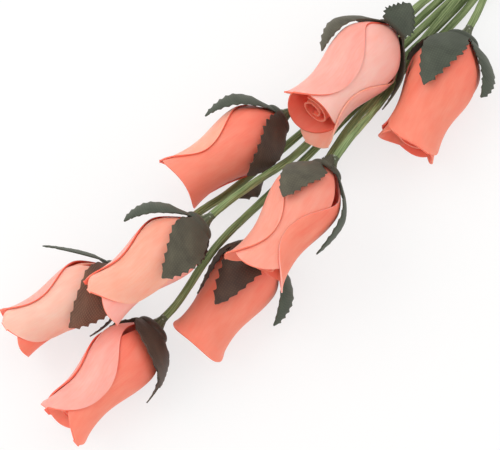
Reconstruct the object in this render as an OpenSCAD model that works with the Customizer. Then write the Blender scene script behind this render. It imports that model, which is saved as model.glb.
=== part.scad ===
// Bunch of eight wooden rosebuds lying on a table.
// Each bud is four curled wood shavings round a rolled heart, in a cloth calyx, on a wire stem
// wrapped in paper tape. The stems run along +X to a tie of the same tape. The table is z = 0.

/* [Bud] */
// Length of a bud of size 1, from its base to its rim
bud_length = 50; // [46:0.5:54]
// Diameter of a bud at its widest
bulge_d = 27; // [24:0.5:29]
// Diameter of a bud at its waist, below the rim
waist_d = 20; // [18:0.5:22]
// Diameter across the flared tips of the outer petals
mouth_d = 23.6; // [22:0.2:26]
// Diameter of a bud's base, where its petals are glued together
base_d = 6; // [5:0.5:7]
// Height of the widest place above the base
bulge_h = 15.5; // [13:0.5:18]
// Height of the waist above the base
waist_h = 38; // [34:0.5:41]

/* [Petals] */
// Thickness of a wood shaving
petal_t = 0.6; // [0.4:0.05:0.8]
// Air between one layer of petals and the next
petal_gap = 0.7; // [0.5:0.1:1.0]
// How far the free edges of an outer petal stand off the bud
edge_lift = 0.5; // [0:0.1:0.8]
// Share of its height at which a petal is widest
petal_widest = 0.66; // [0.6:0.02:0.72]
// How much higher each further layer starts above the base
layer_foot = 0.8; // [0.6:0.1:1.2]

/* [Heart] */
// Diameter of the rolled heart at its top
heart_d = 13.4; // [11:0.2:14]
// Height of the heart's top above the base
heart_h = 46.5; // [42:0.5:47]
// Turns that the rolled shaving makes
heart_turns = 1.6; // [1.2:0.1:1.8]
// Thickness of the rolled shaving
heart_t = 0.7; // [0.5:0.1:0.9]
// Air between the heart's foot and the innermost petals
heart_gap = 0.4; // [0.3:0.1:0.6]

/* [Calyx] */
// Thickness of the stiffened cloth
cloth_t = 0.5; // [0.4:0.05:0.7]
// Air between the cloth and the petals
cloth_gap = 0.4; // [0.3:0.05:0.6]
// Size of the sepals compared with those laid out below
sepal_size = 1; // [0.9:0.02:1.05]
// Height of the ring that joins the four sepals
collar_h = 2; // [1.5:0.25:3]
// Diameter of the flat foot of the calyx, round the stem
collar_d = 7; // [6.6:0.1:7.6]

/* [Stems] */
// Diameter of a stem over its paper tape
stem_d = 3.2; // [2.8:0.1:3.5]
// Diameter of the wire inside a stem
wire_d = 1.6; // [1.2:0.1:1.8]
// Air between the wire and the tape round it
wire_gap = 0.12; // [0.1:0.02:0.2]
// Air between the round top of a stem and the calyx that nods on it
bend_gap = 0.35; // [0.3:0.05:0.5]
// Air between stems that lie side by side on the table
lane_gap = 0.5; // [0.4:0.05:0.8]

/* [Tie] */
// Length of the tape tie round the stems
tie_l = 40; // [25:1:60]
// Thickness of the tie's wound tape
tie_t = 1; // [0.6:0.1:1.6]
// Air between neighbouring stems inside the tie
tie_gap = 0.12; // [0.1:0.02:0.2]
// Length of the stems beyond the tie
tail_l = 52; // [20:1:90]

/* [Hidden] */
// Bud length and width for which the places below are written
laid_length = 50;
laid_bulge = 27;
along = bud_length / laid_length;
across = bulge_d / laid_bulge;

// Middle of the bunch on the table, in the places below, which becomes the origin
middle = [77.5 * along, 7.5 * across, 0];

// One row per rose: neck [x, y, z], heading in plan, tilt of the tip, size
PLACES = [
    [[99, 9, 21], 180, 9, 1.05],
    [[117, -12.5, 16.5], 194, 2, 1.06],
    [[43.5, 18.5, 18.5], 166, 0, 0.97],
    [[33.5, -12.5, 40], 187, 1, 0.99],
    [[-14.5, 8.5, 39.5], 170, -3.5, 0.97],
    [[1, -10.5, 16], 185.5, -3, 0.98],
    [[-45, 24.5, 15.5], 163, -2, 0.94],
    [[-52, 0, 16.5], 178.5, -2, 1.03],
];

// Four petals per rose: facing in degrees round the bud from its upper side, half of the angle it wraps,
// height of its tip, drop of its rim to the sides, layer from the outside in, how pointed it is (0 is a fan)
PETALS = [
    [[50, 77, 51, 0, 0, 0.6], [-138, 84, 52.5, 0, 0, 0.35], [-20, 72, 48.8, 4, 1, 0], [150, 94, 50.5, 4, 1, 0]],
    [[-15, 95, 52, 0, 0, 0.4], [165, 76, 47, 1, 0, 0], [80, 88, 50.5, 4, 1, 0], [-75, 55, 51.5, 4, 1, 0]],
    [[92, 76, 51, 0, 0, 0.9], [-150, 36, 46, 0, 0, 0.6], [-13, 92, 51.6, 1, 1, 0], [170, 78, 46, 2, 1, 0]],
    [[86, 79, 52, 0, 0, 0.5], [-90, 77, 51.5, 0, 0, 0.85], [17, 78, 53, 7, 1, 0], [188, 85, 47.5, 1, 1, 0]],
    [[110, 62, 50, 0, 0, 0.8], [20, 105, 52, 0, 1, 1], [-70, 70, 52.5, 3, 2, 0], [125, 88, 49, 3, 2, 0]],
    [[-15, 95, 52.6, 6, 0, 0], [168, 70, 47, 2, 0, 0], [80, 80, 47.5, 2, 1, 0], [-100, 80, 48, 2, 1, 0]],
    [[108, 76, 49.6, 0, 0, 0.4], [12, 96, 52, 0, 1, 0.75], [-73, 70, 51.5, 3, 2, 0], [125, 86, 49, 3, 2, 0]],
    [[130, 76, 50, 0, 0, 0.8], [48, 81, 50.5, 0, 1, 0.6], [-60, 92, 52.5, 0, 2, 0.75], [120, 80, 50.5, 3, 2, 0]],
];

// Four sepals per rose: facing, width, height of its tip when laid on the bud, angle that it is opened by,
// how far its tip leans round the bud, how far its lower edge is turned out
SEPALS = [
    [[-170, 13, 14, 0, 0, 0], [-100, 10, 26, 5, -5, 0], [-12, 15, 9.6, 130, 12, 0], [78, 13, 24, 4, 6, 28]],
    [[-165, 13, 14, 0, 0, 0], [-64, 16, 20, 3, -16, -16], [18, 17, 30, 2, -4, 0], [105, 14, 16, 4, 0, 0]],
    [[-200, 13, 14, 0, 0, 0], [-115, 12, 24, 2, 2, 0], [-45, 18, 27, 3, -20, 0], [50, 13, 26, 6, 22, 24]],
    [[-200, 13, 14, 0, 0, 0], [-92, 11, 31, 4, -8, -14], [-6, 6, 6.2, 118, 0, 0], [30, 18, 24, 2, -10, 0]],
    [[-150, 13, 14, 0, 0, 0], [-20, 20, 27, 2, -22, 0], [66, 13, 21.5, 10, 8, 30], [150, 12, 16, 2, 0, 0]],
    [[-180, 13, 14, 1, 0, 0], [-90, 13, 25, 8, -5, -30], [8, 18, 34, 2, -6, 0], [54, 5, 34, 2, -15, 0]],
    [[-165, 13, 14, 0, 0, 0], [-95, 10, 24, 3, -4, 0], [-20, 20, 30, 2, -31, 0], [82, 11, 20, 17, 0, 34]],
    [[-128, 9, 23, 4, 28, 0], [-25, 26, 16, 6, -66, 0], [120, 10, 16, 2, 0, 0], [185, 12, 14, 0, 0, 0]],
];

// Points that each stem passes on its way from the neck to the lanes on the table
ROUTES = [
    [[110, 9, 19], [126, 8, 14]],
    [[127, -10, 16], [138, -6.5, 13.5]],
    [[54, 15.6, 16], [68, 15, 8]],
    [[45, -11, 38.5], [62, -8, 26], [78, -4.5, 13], [98, -0.5, 8.2], [125, 1, 9]],
    [[-5, 7.2, 39.6], [12, 6, 31], [34, 6, 13]],
    [[12, -9, 17.5], [30, -6.5, 11]],
    [[-34, 21, 15.5], [-10, 20.5, 8], [12, 17, 3]],
    [[-41, 0, 17.5], [-16, 2.5, 22.5], [18, 3.5, 10]],
];

// Lane of each stem on the table, counted from the middle lane, or none
LANES = [undef, undef, 2, undef, 0, -2, 1, -1];
// Distance along the bunch and offset of the middle lane at each place where the lanes are held
LANE_PLACES = [[62, 7], [98, 5.8], [124, 4]];
// The lane places start here for a stem whose neck lies beyond the first one
lane_start = [0, 0, 1, 0, 0, 0, 0, 0];
// Place of each stem in the tie: 0 is the middle, the others count round the ring
SLOTS = [1, 3, 7, 2, 0, 4, 6, 5];
// How far each stem is cut short of the longest
CUTS = [6, 14, 0, 9, 3, 12, 5, 0];

count = len(PLACES);
ring_count = count - 1;
slot_r = (stem_d + tie_gap) / (2 * sin(180 / ring_count));
slot_turn = 90 - 360 / ring_count;
tie_bore_r = slot_r + stem_d / 2 + tie_gap;
tie_r = tie_bore_r + tie_t;
// Where the tie starts along the bunch, and its offset across it
tie_x = 172 * along;
tie_y = 2 * across;
// Length over which a stem already runs straight before the tie
tie_lead = 14;
tail_x = tie_x + tie_l + tail_l;

layer_step = petal_t + petal_gap;
cloth_off = petal_t / 2 + edge_lift + cloth_gap + cloth_t / 2;
foot_h = cloth_t + cloth_gap;
bore_r = wire_d / 2 + wire_gap;
// Air between the stems in their lanes and the table, and how much higher every other lane runs
stem_rise = 0.9;
lane_step = stem_d / 3;

// Radius at which the heart's spiral starts
heart_core_r = heart_d * 0.15;
// How early the heart widens on its way up
heart_widen = 1.4;

// Share of its width that a leaf and a fan keep at the foot, and a leaf at its tip
leaf_foot = 0.06;
fan_foot = 0.85;
tip_share = 0.05;
// Heights of the lower rows of every petal as shares of the bud, so that the layers stay parallel
ROW_HEIGHTS = [0, 0.06, 0.14, 0.24, 0.36, 0.5, 0.64, 0.78];
fixed_rows = len(ROW_HEIGHTS) - 1;
rim_rows = 3;
petal_rows = fixed_rows + rim_rows;

// Shares of its length at which a sepal is free of the ring, opened all the way, and widest
sepal_start = 0.15;
sepal_bend = 0.4;
sepal_widest = 0.3;
// Share of its width that a sepal has at the ring, and how it narrows to its tip
sepal_root = 0.75;
sepal_taper = 0.65;
// How much flatter across than the bud a sepal is, and the opening that makes it flatter by as much again
flatness = 1.35;
flat_turn = 60;
// Opening at which a sepal no longer follows the bud but runs straight on from the ring
straight_turn = 20;
// Air between sepals that lie side by side
sepal_gap = 1.2;
// Step with which slopes of the cloth are taken
slope_step = 0.01;

petal_cols = 8;
heart_steps = 14;
heart_rows = 3;
sepal_count = 4;
sepal_cols = 4;
sepal_rows = 5;
stem_sides = 8;
wire_sides = 6;

PETAL_NAMES = ["outer_petal_a", "outer_petal_b", "inner_petal_a", "inner_petal_b"];

// Radius of a petal's middle surface at height z, for a given radius at the rim
function bud_r(z, rim_r) =
    z < bulge_h ? base_d / 2 + (bulge_d - base_d) / 2 * sin(90 * z / bulge_h)
    : z < waist_h ? waist_d / 2
        + (bulge_d - waist_d) / 4 * (1 + cos(180 * (z - bulge_h) / (waist_h - bulge_h)))
    : waist_d / 2 + (rim_r - waist_d / 2) * pow((z - waist_h) / (bud_length - waist_h), 2);

function round_axis(r, angle, z) = [r * cos(angle), r * sin(angle), z];
function scaled(p, by) = [p[0] * by[0], p[1] * by[1], p[2] * by[2]];
function flat(rows) = [for (row = rows, p = row) p];
function unit(v) = v / norm(v);

// Faces of a closed shell between two grids of points, the outer grid first. Each cell is split along the
// diagonal that leans with the columns, which spread apart up to the turn row and then close again
function shell_faces(rows, cols, turn_row) =
    let (
        size = rows * cols,
        edge = concat(
            [for (j = [0:cols - 1]) j],
            [for (i = [1:rows - 1]) i * cols + cols - 1],
            [for (j = [cols - 2:-1:0]) (rows - 1) * cols + j],
            [for (i = [rows - 2:-1:1]) i * cols]
        )
    )
    concat(
        [for (grid = [0, 1], i = [0:rows - 2], j = [0:cols - 2], k = [0, 1])
            let (
                a = grid * size + i * cols + j,
                b = a + 1,
                c = a + cols + 1,
                d = a + cols,
                f = (2 * j < cols - 1) == (i < turn_row) ? (k == 0 ? [a, c, b] : [a, d, c])
                    : (k == 0 ? [a, d, b] : [b, d, c])
            )
            grid == 0 ? f : [f[0], f[2], f[1]]],
        [for (n = [0:len(edge) - 1], k = [0, 1])
            let (a = edge[n], b = edge[(n + 1) % len(edge)])
            k == 0 ? [a, size + b, size + a] : [a, b, size + b]]
    );

// Share of its angle that a petal wraps at a share of its height
function petal_width(share, point, foot) =
    (foot + (1 - foot) * pow(sin(90 * min(1, share / petal_widest)), 2))
    * pow(max(tip_share, cos(90 * max(0, (share - petal_widest) / (1 - petal_widest)))), point);

// A curled shaving, cut to a leaf or to a fan
module petal(facing, half, tip_h, drop, layer, point) {
    start = layer * layer_foot;
    foot = point > 0 && layer < 2 ? leaf_foot : fan_foot;
    lift = layer == 0 ? edge_lift : 0;
    top_row_h = ROW_HEIGHTS[fixed_rows] * bud_length;
    function row_z(row, rim) =
        row <= fixed_rows ? max(start, ROW_HEIGHTS[row] * bud_length)
        : top_row_h + (rim - top_row_h) * (row - fixed_rows) / rim_rows;
    function at(row, col, side) =
        let (
            u = 2 * col / petal_cols - 1,
            rim = (tip_h - drop * u * u) * along,
            z = row_z(row, rim),
            r = bud_r(z, mouth_d / 2) - layer * layer_step + lift * pow(abs(u), 4) * z / bud_length,
            width = petal_width((z - start) / (rim - start), point, foot)
        )
        round_axis(r + side * petal_t / 2, 180 + facing + half * width * u, z);
    grids = [for (side = [1, -1]) flat([for (row = [0:petal_rows])
        [for (col = [0:petal_cols]) at(row, col, side)]])];
    polyhedron(concat(grids[0], grids[1]), shell_faces(petal_rows + 1, petal_cols + 1, fixed_rows - 1));
}

// One shaving rolled up into a loose spiral that narrows to its foot on the innermost petals
module heart(layers) {
    start = layers * layer_foot;
    foot_r = bud_r(start, mouth_d / 2) - (layers - 1) * layer_step - petal_t / 2 - heart_gap;
    foot_scale = min(1, foot_r / (heart_d / 2));
    function widen(share) = foot_scale + (1 - foot_scale) * sin(90 * min(1, heart_widen * share));
    function at(row, step, side) =
        let (
            share = row / heart_rows,
            r = heart_core_r + (heart_d / 2 - heart_t / 2 - heart_core_r) * step / heart_steps
                + side * heart_t / 2,
            z = start + (heart_h - start) * share
        )
        round_axis(r * widen(share), 360 * heart_turns * step / heart_steps, z);
    grids = [for (side = [1, -1]) flat([for (row = [0:heart_rows])
        [for (step = [0:heart_steps]) at(row, step, side)]])];
    polyhedron(concat(grids[0], grids[1]), shell_faces(heart_rows + 1, heart_steps + 1, heart_rows));
}

// Radius of the cloth's middle surface where it lies on the bud
function cloth_r(z) = bud_r(z, mouth_d / 2) + cloth_off;

// Half of a sepal's width at a share of its length
function sepal_half(share, width) = width / 2 * (
    share < sepal_widest ? sepal_root + (1 - sepal_root) * sin(90 * share / sepal_widest)
    : pow((1 - share) / (1 - sepal_widest), sepal_taper));

// A flat foot, a ring round the base of the bud and four pointed sepals, cut from one piece of cloth
module calyx(sepals) {
    cols = sepal_count * sepal_cols;
    ring_z = collar_h / 5;
    rings = 3;
    surface = 1 + rings * cols + sepal_count * sepal_rows * (sepal_cols + 1);
    hinge_r = cloth_r(collar_h);
    slope = (cloth_r(collar_h + slope_step) - hinge_r) / slope_step;
    hinge_out = cloth_t / 2 * unit([1, slope]);
    function entry(k) = sepals[(k + sepal_count) % sepal_count];
    function width(k) = entry(k)[1] * across * sepal_size;
    function tip_h(k) = entry(k)[2] * along * sepal_size;
    function opened(k) = entry(k)[3];
    // Direction of a sepal's middle line at a height on the bud
    function faces_to(k, z) = entry(k)[0] + 360 * floor(k / sepal_count)
        + entry(k)[4] * max(0, min(1, (z - collar_h) / (tip_h(k) - collar_h)));
    function cuts(k) = [for (n = [k, k + 1]) (faces_to(n - 1, collar_h) + faces_to(n, collar_h)) / 2];
    // Room beside a sepal's middle line at a height, up to halfway to a neighbour that lies on the bud there
    function room(k, next, z) =
        opened(next) > 2 * straight_turn || z > tip_h(next) ? width(k)
        : abs(faces_to(next, z) - faces_to(k, z)) / 2 * PI / 180 * cloth_r(z) - sepal_gap / 2;
    // A point on the middle surface of a sepal, which grows out of its part of the ring
    function sepal_mid(k, share, side) =
        let (
            twist = entry(k)[5],
            straight = min(1, opened(k) / straight_turn),
            c = cuts(k),
            ring_turn = (c[0] + c[1]) / 2,
            ring_half = (c[1] - c[0]) / 2 * PI / 180 * hinge_r,
            free = min(1, share / sepal_start),
            rise = share * (tip_h(k) - collar_h),
            z = collar_h + rise,
            bend = max(0, opened(k) - straight_turn) * sin(90 * min(1, share / sepal_bend)),
            out = (1 - straight) * (cloth_r(z) - hinge_r) + straight * slope * rise,
            own_half = min(sepal_half(share, width(k)), room(k, k + (side < 0 ? -1 : 1), z)),
            half_w = max(cloth_t / 2, (1 - free) * ring_half + free * own_half),
            round_r = cloth_r(z) * (1 + (flatness - 1 + opened(k) / flat_turn) * free),
            curl = half_w * side / round_r * 180 / PI,
            off = half_w * (sin(abs(twist)) + side * sin(twist)) * free - round_r * (1 - cos(curl)),
            turn = 180 + ring_turn + (faces_to(k, z) - ring_turn) * free
        )
        round_axis(hinge_r + (out + off) * cos(bend) + rise * sin(bend), turn,
            collar_h - (out + off) * sin(bend) + rise * cos(bend))
        + round_axis(round_r * sin(curl) * cos(twist * free), turn + 90, 0);
    function ring_at(ring, col, side) =
        let (
            c = cuts(floor(col / sepal_cols)),
            angle = 180 + c[0] + (c[1] - c[0]) * (col % sepal_cols) / sepal_cols
        )
        ring == 0 ? round_axis(collar_d / 2, angle, side > 0 ? -foot_h : -cloth_gap)
        : ring == 1 ? round_axis(cloth_r(ring_z) + side * cloth_t / 2, angle, ring_z)
        : round_axis(hinge_r + side * hinge_out[0], angle, collar_h - side * hinge_out[1]);
    function sepal_at(k, row, col, side) =
        let (
            share = row / sepal_rows,
            u = 2 * col / sepal_cols - 1,
            inner_u = u * (1 - slope_step),
            p = sepal_mid(k, share, u),
            up_sepal = p - sepal_mid(k, share - slope_step, u),
            over_sepal = sepal_mid(k, share, inner_u + slope_step) - sepal_mid(k, share, inner_u - slope_step)
        )
        p + side * cloth_t / 2 * unit(cross(over_sepal, up_sepal));
    function side_points(side) = concat(
        [[0, 0, side > 0 ? -foot_h : -cloth_gap]],
        [for (ring = [0:rings - 1], col = [0:cols - 1]) ring_at(ring, col, side)],
        [for (sepal = [0:sepal_count - 1], row = [1:sepal_rows], col = [0:sepal_cols])
            sepal_at(sepal, row, col, side)]
    );
    function ring_n(ring, col) = 1 + ring * cols + col % cols;
    function sepal_n(sepal, row, col) =
        row == 0 ? ring_n(rings - 1, sepal * sepal_cols + col)
        : 1 + rings * cols + (sepal * sepal_rows + row - 1) * (sepal_cols + 1) + col;
    half_faces = concat(
        [for (col = [0:cols - 1]) [0, ring_n(0, col), ring_n(0, col + 1)]],
        [for (ring = [0:rings - 2], col = [0:cols - 1], k = [0, 1])
            let (a = ring_n(ring, col), b = ring_n(ring, col + 1),
                c = ring_n(ring + 1, col + 1), d = ring_n(ring + 1, col))
            k == 0 ? [a, c, b] : [a, d, c]],
        [for (sepal = [0:sepal_count - 1], row = [0:sepal_rows - 1], col = [0:sepal_cols - 1], k = [0, 1])
            let (a = sepal_n(sepal, row, col), b = sepal_n(sepal, row, col + 1),
                c = sepal_n(sepal, row + 1, col + 1), d = sepal_n(sepal, row + 1, col))
            k == 0 ? [a, c, b] : [a, d, c]]
    );
    edge = [for (sepal = [0:sepal_count - 1]) each concat(
        [for (row = [0:sepal_rows]) sepal_n(sepal, row, 0)],
        [for (col = [1:sepal_cols]) sepal_n(sepal, sepal_rows, col)],
        [for (row = [sepal_rows - 1:-1:1]) sepal_n(sepal, row, sepal_cols)]
    )];
    faces = concat(
        half_faces,
        [for (f = half_faces) [surface + f[0], surface + f[2], surface + f[1]]],
        [for (n = [0:len(edge) - 1], k = [0, 1])
            let (a = edge[n], b = edge[(n + 1) % len(edge)])
            k == 0 ? [a, surface + a, surface + b] : [a, surface + b, b]]
    );
    polyhedron(concat(side_points(1), side_points(-1)), faces);
}

// Place of rose i's neck, where its stem bends
function neck(i) = scaled(PLACES[i][0], [along, across, across]);
function heading(i) =
    let (turn = PLACES[i][1], tilt = PLACES[i][2])
    [cos(tilt) * cos(turn), cos(tilt) * sin(turn), sin(tilt)];

// Carries a bud, made with its base at the origin and its axis along +Z, to rose i
module in_bloom(i) {
    size = PLACES[i][3];
    translate(neck(i) - middle)
        rotate([0, 90 - PLACES[i][2], PLACES[i][1]])
            translate([0, 0, stem_d / 2 + bend_gap + foot_h * size])
                scale(size)
                    children();
}

function slot_at(i) =
    let (slot = SLOTS[i], angle = slot_turn + 360 / ring_count * (slot - 1), r = slot == 0 ? 0 : slot_r)
    [tie_y + r * cos(angle), tie_r + r * sin(angle)];

function lane_points(i) = is_undef(LANES[i]) ? [] :
    [for (n = [lane_start[i]:len(LANE_PLACES) - 1])
        [LANE_PLACES[n][0] * along,
        LANE_PLACES[n][1] * across + LANES[i] * (stem_d + lane_gap),
        stem_d / 2 + stem_rise + (LANES[i] % 2 == 0 ? lane_step : 0)]];

function slot_points(i) =
    let (slot = slot_at(i))
    [for (x = [tie_x - tie_lead, tie_x, tail_x - CUTS[i]]) [x, slot[0], slot[1]]];

function route(i) = concat(
    [neck(i)],
    [for (p = ROUTES[i]) scaled(p, [along, across, across])],
    lane_points(i),
    slot_points(i)
);

// Smooth curve through the points of a route, with a point halfway along each of its bent spans
function between(p, n, t) =
    let (
        a = n > 0 ? p[n - 1] : 2 * p[0] - p[1],
        b = p[n],
        c = p[n + 1],
        d = n + 2 < len(p) ? p[n + 2] : 2 * c - b
    )
    b + t * (c - a) / 2 + t * t * (a - 2.5 * b + 2 * c - d / 2) + t * t * t * (1.5 * (b - c) + (d - a) / 2);
function stem_line(i) =
    let (p = route(i), last = len(p) - 1)
    [for (n = [0:last], t = [0, 0.5])
        if (t == 0 || n < last - 2) n == last ? p[n] : between(p, n, t)];

// Rings of points round a line of points; the first direction is the bud's own
function tangents(line, first) =
    let (last = len(line) - 1)
    [for (n = [0:last]) n == 0 ? first : unit(line[min(n + 1, last)] - line[n - 1])];
function ring_round(centre, dir, r, sides) =
    let (side = unit(cross([0, 0, 1], dir)), up = cross(dir, side))
    [for (k = [0:sides - 1]) centre + r * (cos(360 * k / sides) * side + sin(360 * k / sides) * up)];

// Faces of a tube's side between rings numbered from first to last, facing out or in
function side_faces(first, rings, sides, out) =
    [for (n = [0:rings - 2], k = [0:sides - 1], h = [0, 1])
        let (
            a = first + n * sides + k,
            b = first + n * sides + (k + 1) % sides,
            c = b + sides,
            d = a + sides,
            f = h == 0 ? [a, c, b] : [a, d, c]
        )
        out ? f : [f[0], f[2], f[1]]];
function cap_faces(centre, first, sides, out) =
    [for (k = [0:sides - 1])
        let (a = first + k, b = first + (k + 1) % sides)
        out ? [centre, a, b] : [centre, b, a]];

// Paper tape round a wire: a tube with a round closed top at the neck and an open cut end
module stem(i) {
    line = [for (p = stem_line(i)) p - middle];
    dirs = tangents(line, -heading(i));
    count_rings = len(line);
    r = stem_d / 2;
    sides = stem_sides;
    dome = line[0] - dirs[0] * r * sin(45);
    tip = line[0] - dirs[0] * r;
    outer = concat(
        ring_round(dome, dirs[0], r * cos(45), sides),
        [for (n = [0:count_rings - 1]) each ring_round(line[n], dirs[n], r, sides)]
    );
    inner = [for (n = [1:count_rings - 1]) each ring_round(line[n], dirs[n], bore_r, sides)];
    bore = len(outer);
    tops = bore + len(inner);
    end_out = bore - sides;
    end_in = tops - sides;
    polyhedron(
        concat(outer, inner, [tip, line[1]]),
        concat(
            side_faces(0, count_rings + 1, sides, true),
            side_faces(bore, count_rings - 1, sides, false),
            cap_faces(tops, 0, sides, true),
            cap_faces(tops + 1, bore, sides, false),
            [for (k = [0:sides - 1], h = [0, 1])
                let (a = end_out + k, b = end_out + (k + 1) % sides,
                    c = end_in + (k + 1) % sides, d = end_in + k)
                h == 0 ? [a, c, b] : [a, d, c]]
        )
    );
}

// Wire inside a stem, from just below the neck to the cut end
module wire(i) {
    line = stem_line(i);
    shy = wire_gap * unit(line[2] - line[1]);
    path = [for (n = [1:len(line) - 1]) line[n] - middle + (n == 1 ? shy : [0, 0, 0])];
    dirs = tangents(path, unit(line[2] - line[0]));
    rings = [for (n = [0:len(path) - 1]) each ring_round(path[n], dirs[n], wire_d / 2, wire_sides)];
    ends = len(rings);
    polyhedron(
        concat(rings, [path[0], path[len(path) - 1]]),
        concat(
            side_faces(0, len(path), wire_sides, true),
            cap_faces(ends, 0, wire_sides, true),
            cap_faces(ends + 1, ends - wire_sides, wire_sides, false)
        )
    );
}

module stem_wires() {
    color("silver")
        for (i = [0:count - 1])
            wire(i);
}

module bunch_tie() {
    color("darkolivegreen")
        translate([tie_x, tie_y, tie_r] - middle)
            rotate([0, 90, 0])
                difference() {
                    cylinder(h = tie_l, r = tie_r, $fn = 64);
                    translate([0, 0, -1])
                        cylinder(h = tie_l + 2, r = tie_bore_r, $fn = 64);
                }
}

module rose_petal(i, n) {
    p = PETALS[i][n];
    color(p[4] == 0 ? "salmon" : "lightsalmon")
        in_bloom(i)
            petal(p[0], p[1], p[2], p[3], p[4], p[5]);
}

module rose_heart(i) {
    color("tomato")
        in_bloom(i)
            heart(1 + max([for (p = PETALS[i]) p[4]]));
}

module rose_calyx(i) {
    color("darkslategray")
        in_bloom(i)
            calyx(SEPALS[i]);
}

module rose_stem(i) {
    color("olivedrab")
        stem(i);
}

for (i = [0:count - 1]) {
    rose = str("rose_", i + 1, "_");
    for (n = [0:len(PETAL_NAMES) - 1])
        rose_petal(i, n);
    rose_heart(i);
    rose_calyx(i);
    rose_stem(i);
}
stem_wires();
bunch_tie();
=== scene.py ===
# %% [markdown]
# # A bunch of wooden rosebuds
#
# Each bud is made of thin wood shavings, soaked in coral dye and curled round a rolled heart.
# A stiff cloth calyx holds the base of the bud, and a wire wound with green paper tape is the stem.
# This lesson dresses the plain solids of the bunch: it loads them as a frame, models each piece again
# with the curl, the cut edges and the grain that the solids leave out, and gives every surface its finish.

# %% Load the frame
from math import atan, cos, pi, radians, sin

import bmesh
import bpy
from mathutils import Euler, Matrix, Vector


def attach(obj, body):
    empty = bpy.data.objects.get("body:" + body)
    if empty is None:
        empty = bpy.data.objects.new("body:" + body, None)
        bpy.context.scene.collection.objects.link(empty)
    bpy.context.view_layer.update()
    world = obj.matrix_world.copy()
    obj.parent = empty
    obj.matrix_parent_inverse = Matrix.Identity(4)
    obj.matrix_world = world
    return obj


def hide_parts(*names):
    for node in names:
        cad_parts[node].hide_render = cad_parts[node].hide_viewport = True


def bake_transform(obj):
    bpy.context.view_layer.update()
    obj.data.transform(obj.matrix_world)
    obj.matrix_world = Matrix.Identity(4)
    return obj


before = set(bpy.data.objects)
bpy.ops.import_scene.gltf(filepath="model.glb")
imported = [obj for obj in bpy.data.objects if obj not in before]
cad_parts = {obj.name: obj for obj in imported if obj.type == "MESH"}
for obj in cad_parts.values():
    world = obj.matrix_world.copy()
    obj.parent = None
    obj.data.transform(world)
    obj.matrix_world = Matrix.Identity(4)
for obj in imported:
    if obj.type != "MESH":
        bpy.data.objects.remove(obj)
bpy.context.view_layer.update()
MM = 0.001

# %% [markdown]
# ## The camera
#
# The bunch lies on a table and is seen from almost straight above, from far away, so that near and far
# buds come out the same size. A camera without perspective would do that too, but a long lens keeps the
# trace of depth that a real one has. It is placed by three values that can be read off the picture: the
# direction it looks in, its height angle, and how much of the table it takes in.

# %% Place the camera
VIEW_TURN = radians(-49)
VIEW_HEIGHT = radians(72)
VIEW_DISTANCE = 1000 * MM
VIEW_WIDTH = 194 * MM
VIEW_AIM = Vector((-77.5, -7.5, 15)) * MM

to_viewer = Vector((sin(VIEW_TURN) * cos(VIEW_HEIGHT), -cos(VIEW_TURN) * cos(VIEW_HEIGHT), sin(VIEW_HEIGHT)))
picture_right = Vector((cos(VIEW_TURN), sin(VIEW_TURN), 0))
picture_up = to_viewer.cross(picture_right)

lens = bpy.data.cameras.new("camera")
lens.sensor_fit = "HORIZONTAL"
lens.angle = 2 * atan(VIEW_WIDTH / 2 / VIEW_DISTANCE)
lens.clip_end = 10
camera = bpy.data.objects.new("camera", lens)
camera.matrix_world = (
    Matrix.Translation(VIEW_AIM + to_viewer * VIEW_DISTANCE)
    @ Matrix((picture_right, picture_up, to_viewer)).transposed().to_4x4()
)
bpy.context.scene.collection.objects.link(camera)
bpy.context.scene.camera = camera
bpy.context.scene.view_settings.view_transform = "Standard"
print("camera", [round(x, 3) for x in camera.location])

# %% [markdown]
# ## Colours and nodes
#
# Colours are written as sRGB hex, the way a paint chart gives them, and one function turns them into the
# linear values that a shader works with. A finish could be wired up by hand in the shader editor. Here one
# small function adds a node, sets it up and links it, so that a finish reads like a recipe, step by step.

# %% Helpers for materials
def linear(hex_colour):
    parts = [int(hex_colour[n:n + 2], 16) / 255 for n in (1, 3, 5)]
    return tuple(c / 12.92 if c <= 0.04045 else ((c + 0.055) / 1.055) ** 2.4 for c in parts) + (1.0,)


def add(tree, kind, inputs=None, stops=(), **settings):
    made = tree.nodes.new(kind)
    for name, value in settings.items():
        setattr(made, name, value)
    if stops:
        elements = made.color_ramp.elements
        while len(elements) < len(stops):
            elements.new(1.0)
        for element, (place, colour) in zip(elements, stops):
            element.position = place
            element.color = linear(colour)
    for key, value in (inputs or {}).items():
        if isinstance(value, bpy.types.NodeSocket):
            tree.links.new(value, made.inputs[key])
        else:
            made.inputs[key].default_value = value
    return made


def new_material(name):
    material = bpy.data.materials.new(name)
    material.use_nodes = True
    material.node_tree.nodes.clear()
    return material, material.node_tree


print("coral in linear light:", [round(c, 3) for c in linear("#F58C78")])

# %% [markdown]
# ## Table, backdrop and light
#
# The bunch lies on a white table under one large soft lamp to the picture's left, with light from all
# round. More light would make the table white, but it would bleach the roses too. So for the camera a part of
# its colour is plain white and the rest is the lit surface, which keeps the soft grey shadows.

# %% Make the table
FLOOR_SIZE = 6.0
FLOOR_WHITE_SHARE = 0.68

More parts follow.
